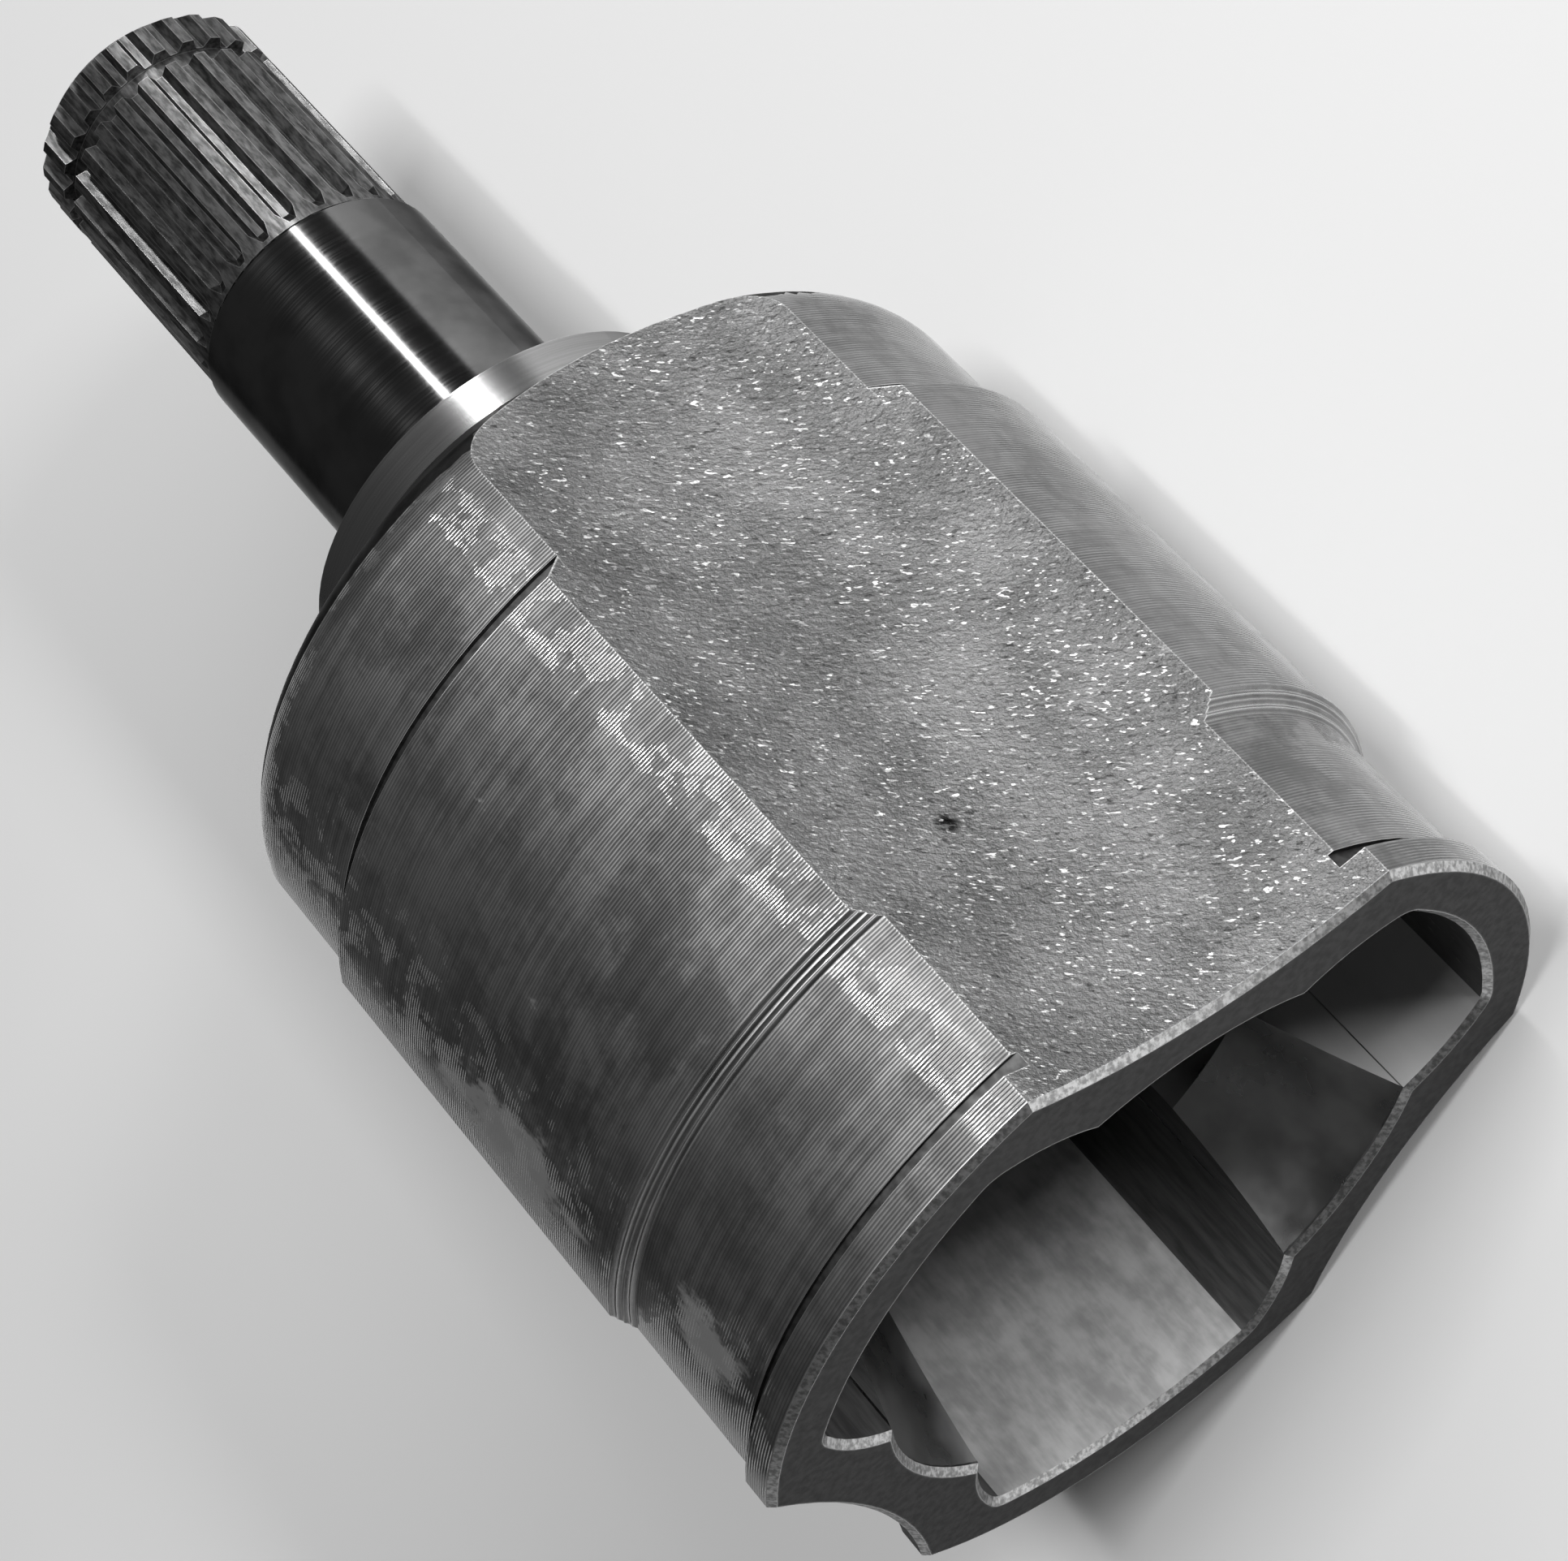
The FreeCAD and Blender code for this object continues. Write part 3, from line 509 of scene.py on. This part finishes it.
# flank: the sides that the rollers run on, smooth and dark, with a painted highlight over the second lobe's
# and painted shade deeper in
def second_lobe_painted_light(tree):
    """One in the second lobe's track, and nought in the others; it lays a painted highlight on the flanks
    there and a painted shadow on the crown.
    """
    outward = tree.nodes.new("ShaderNodeVectorMath")
    outward.operation = "DOT_PRODUCT"
    link(tree, place_of(tree), outward.inputs[0])
    outward.inputs[1].default_value = lobe_ways[1]
    return span(tree, outward.outputs["Value"], 14.0, 20.0)


def painted_depth_shade(tree, first, last, most):
    """Nought at the first place along X, and the most at the last, deeper in the tracks, for painted shade
    that darkens the tracks towards their depth.
    """
    along = tree.nodes.new("ShaderNodeSeparateXYZ")
    link(tree, place_of(tree), along.inputs["Vector"])
    return span(tree, along.outputs["X"], first, last, 0.0, most)


flank, tree, shader = steel("steel_track_flank", 0.14, 0.42, 0.4)
streaks = noise(tree, place_of(tree, (0.15, 0.9, 0.9)), scale=1.0, detail=3.0, rough=0.6)
tone = shade_between(tree, span(tree, streaks, 0.3, 0.7), dark=0.07, light=0.13)
# the second lobe's flanks get a painted highlight, and the tracks a painted shade towards their depth
tone = over(tree, tone, work(tree, "MULTIPLY", second_lobe_painted_light(tree), 0.8), grey=0.5)
tone = over(tree, tone, painted_depth_shade(tree, 84.0, 62.0, 0.8), grey=0.03)
link(tree, tone, shader.inputs["Base Color"])
bump(tree, shader, streaks, distance=0.00001, strength=0.4)
housing_mesh.materials.append(flank)

# chamfer: the broken edges of the mouth, painted brighter than the face, as wear and as a painted highlight
chamfer, tree, shader = steel("steel_chamfer", 0.35, 0.35)
where = noise(tree, place_of(tree), scale=2.0, detail=3.0, rough=0.6)
tone = shade_between(tree, span(tree, where, 0.35, 0.65), dark=0.34, light=0.75)
link(tree, tone, shader.inputs["Base Color"])
housing_mesh.materials.append(chamfer)

# cone: the dark rear flank behind the lobes
cone, tree, shader = steel("steel_rear", 0.1, 0.4)
where = noise(tree, place_of(tree), scale=0.3, detail=3.0, rough=0.6)
tone = shade_between(tree, span(tree, where, 0.3, 0.7), dark=0.06, light=0.1)
link(tree, tone, shader.inputs["Base Color"])
housing_mesh.materials.append(cone)

# relief: the narrow grooves beside the boot's seat and the rear band, painted dark as the shade in them
groove_shade, tree, shader = steel("steel_relief_painted_shade", 0.03, 0.5)
where = noise(tree, place_of(tree), scale=1.0)
tone = shade_between(tree, span(tree, where, 0.3, 0.7), dark=0.06, light=0.12)
link(tree, tone, shader.inputs["Base Color"])
housing_mesh.materials.append(groove_shade)

# crown: the outer wall of each track, which the rollers don't touch, left pale and dull, with painted shade
# deep inside and a painted shadow over the second lobe's
crown, tree, shader = steel("steel_track_crown", 0.36, 0.6, 0.15)
streaks = noise(tree, place_of(tree, (0.25, 0.9, 0.9)), scale=1.0, detail=3.0, rough=0.6)
clouds = noise(tree, place_of(tree), scale=0.22, detail=3.0, rough=0.6)
scuffs = span(tree, noise(tree, place_of(tree, (0.5, 1.0, 1.0)), scale=1.2), 0.64, 0.74)
tone = span(tree, blend(tree, streaks, 0.4, clouds, 0.6), 0.35, 0.65)
tone = shade_between(tree, tone, dark=0.34, light=0.54)
tone = over(tree, tone, painted_depth_shade(tree, 74.0, 56.0, 0.85), grey=0.06)
tone = over(tree, tone, work(tree, "MULTIPLY", second_lobe_painted_light(tree), 0.85), grey=0.02)
link(tree, tone, shader.inputs["Base Color"])
link(tree, span(tree, scuffs, 0.0, 1.0, 0.6, 0.3), shader.inputs["Roughness"])
bump(tree, shader, streaks, distance=0.00003, strength=0.5)
housing_mesh.materials.append(crown)

# land: the bore and its cone, turned smooth between the tracks
land, tree, shader = steel("steel_land", 0.22, 0.3)
clouds = noise(tree, place_of(tree), scale=0.15, detail=3.0, rough=0.55)
tone = shade_between(tree, span(tree, clouds, 0.3, 0.7), dark=0.24, light=0.36)
link(tree, tone, shader.inputs["Base Color"])
link(tree, span(tree, clouds, 0.3, 0.7, 0.26, 0.38), shader.inputs["Roughness"])
housing_mesh.materials.append(land)

# collar: the shoulder behind the journal, fine-turned, so that it shines more softly
collar, tree, shader = steel("steel_collar", 0.3, 0.24)
rings = noise(tree, place_of(tree, (6.0, 0.04, 0.04)), scale=1.0, detail=3.0, rough=0.6)
tone = shade_between(tree, span(tree, rings, 0.3, 0.7), dark=0.34, light=0.42)
# the edges are painted bright, as wear and as a painted highlight
link(tree, over(tree, tone, edge_wear_and_highlight(tree, radius=0.0001), grey=0.6), shader.inputs["Base Color"])
bump(tree, shader, rings, distance=0.000004, strength=0.4)
housing_mesh.materials.append(collar)


# The spider: a forged steel hub with three trunnions, splined inside for the half-shaft.
# It is case-hardened, and its trunnions are ground where the needles roll.
def dress(name, material):
    """Puts a steel in every slot of a CAD node, and leaves its mesh alone."""
    for slot in nodes[name].material_slots:
        slot.link = "OBJECT"
        slot.material = material


def ground_unevenly(tree, shader, where, shine, dull):
    """The roughness wanders between two ends."""
    link(tree, span(tree, where, 0.3, 0.7, shine, dull), shader.inputs["Roughness"])


spider_steel, tree, shader = steel("steel_spider", 0.42, 0.28)
where = noise(tree, place_of(tree), scale=0.8, detail=3.0, rough=0.6)
ground_unevenly(tree, shader, where, shine=0.22, dull=0.36)
bump(tree, shader, where, distance=0.00003, strength=0.3)
dress("spider", spider_steel)

# The rollers: three rings of bearing steel, turned, hardened, and ground on their spherical rims.
# Each one spins on its trunnion over a row of needles, and rolls in one of the housing's tracks.
roller_steel, tree, shader = steel("steel_roller", 0.5, 0.18)
ground_unevenly(tree, shader, noise(tree, place_of(tree), scale=2.5), shine=0.14, dull=0.24)
for number in (1, 2, 3):
    dress("roller_%d" % number, roller_steel)

# The needles: 25 loose needles of bearing steel round each trunnion, hardened and ground bright.
# The thrust washers at both ends hold them in.
needle_steel, tree, shader = steel("steel_needle", 0.6, 0.12)
ground_unevenly(tree, shader, noise(tree, place_of(tree), scale=3.0), shine=0.1, dull=0.18)
for number in (1, 2, 3):
    dress("needle_set_%d" % number, needle_steel)

# The thrust washers: flat rings stamped from steel strip, one under and one over each row of needles.
# The inner ones stand against the hub, and the outer ones are held by the snap rings.
washer_steel, tree, shader = steel("steel_washer", 0.4, 0.3)
ground_unevenly(tree, shader, noise(tree, place_of(tree), scale=1.5), shine=0.24, dull=0.4)
for number in (1, 2, 3):
    dress("inner_washer_%d" % number, washer_steel)
    dress("outer_washer_%d" % number, washer_steel)

# The snap rings: open rings of spring steel, blackened in oil.
# One sits in the groove near the end of each trunnion, and holds its washer, needles and roller on.
spring_steel, tree, shader = steel("steel_spring", 0.12, 0.35)
ground_unevenly(tree, shader, noise(tree, place_of(tree), scale=2.0), shine=0.3, dull=0.45)
for number in (1, 2, 3):
    dress("snap_ring_%d" % number, spring_steel)

# The floor: a plain pale sheet that the joint lies on, painted dull.
# It is pale to the eye and in reflections, and darker to all other light, so that it lights little itself.
FLOOR_HALF, LIT_GREY, SEEN_GREY = 3.0, 0.2, 0.68
sheet = bmesh.new()
bmesh.ops.create_grid(sheet, x_segments=1, y_segments=1, size=FLOOR_HALF)
bmesh.ops.translate(sheet, verts=sheet.verts, vec=(0, 0, cad_low.z))
floor_mesh = bpy.data.meshes.new("floor")
sheet.to_mesh(floor_mesh)
sheet.free()
floor = bpy.data.objects.new("floor", floor_mesh)
scene.collection.objects.link(floor)
paint = bpy.data.materials.new("floor_paint")
paint.use_nodes = True
tree = paint.node_tree
shader = tree.nodes["Principled BSDF"]
ray = tree.nodes.new("ShaderNodeLightPath")
seen = work(tree, "MAXIMUM", ray.outputs["Is Camera Ray"], ray.outputs["Is Glossy Ray"])
seen = work(tree, "MAXIMUM", seen, ray.outputs["Is Transmission Ray"])
link(tree, shade_between(tree, seen, LIT_GREY, SEEN_GREY), shader.inputs["Base Color"])
shader.inputs["Roughness"].default_value = 0.9
floor_mesh.materials.append(paint)

# The lights: a strip that draws the streak along the stub, a box into the mouth, and two over the lobes.
# All are soft, and the grey room fills the shadows.
LIT_AT = Vector((0.02, 0, 0))
ROOM_GREY, ROOM_STRENGTH = 0.8, 0.08


def light_from(name, way, distance, across, along, power):
    """A soft box at this distance, facing the joint, with its long side along X."""
    data = bpy.data.lights.new(name, "AREA")
    data.shape = "RECTANGLE"
    data.size = across
    data.size_y = along
    data.energy = power
    lamp = bpy.data.objects.new(name, data)
    scene.collection.objects.link(lamp)
    way = Vector(way).normalized()
    lamp.location = LIT_AT + way * distance
    along_x = (Vector((1, 0, 0)) - way * way.x).normalized()
    lamp.rotation_mode = "QUATERNION"
    lamp.rotation_quaternion = Matrix((along_x.cross(way), along_x, way)).transposed().to_quaternion()


light_from("tube", (-0.18, 0.86, 0.48), distance=1.2, across=0.08, along=1.45, power=11.5)
light_from("mouth_box", (0.33, 0.83, 0.45), distance=1.2, across=0.12, along=0.2, power=4.5)
light_from("key", (0.02, 0.42, 0.91), distance=1.4, across=0.3, along=0.5, power=11.0)
light_from("glint", (0.09, 0.357, 0.93), distance=1.3, across=0.035, along=0.3, power=2.4)
world = bpy.data.worlds.new("room")
world.use_nodes = True
room = world.node_tree.nodes["Background"]
room.inputs["Color"].default_value = (ROOM_GREY, ROOM_GREY, ROOM_GREY, 1)
room.inputs["Strength"].default_value = ROOM_STRENGTH
scene.world = world
scene.view_settings.view_transform = "Standard"
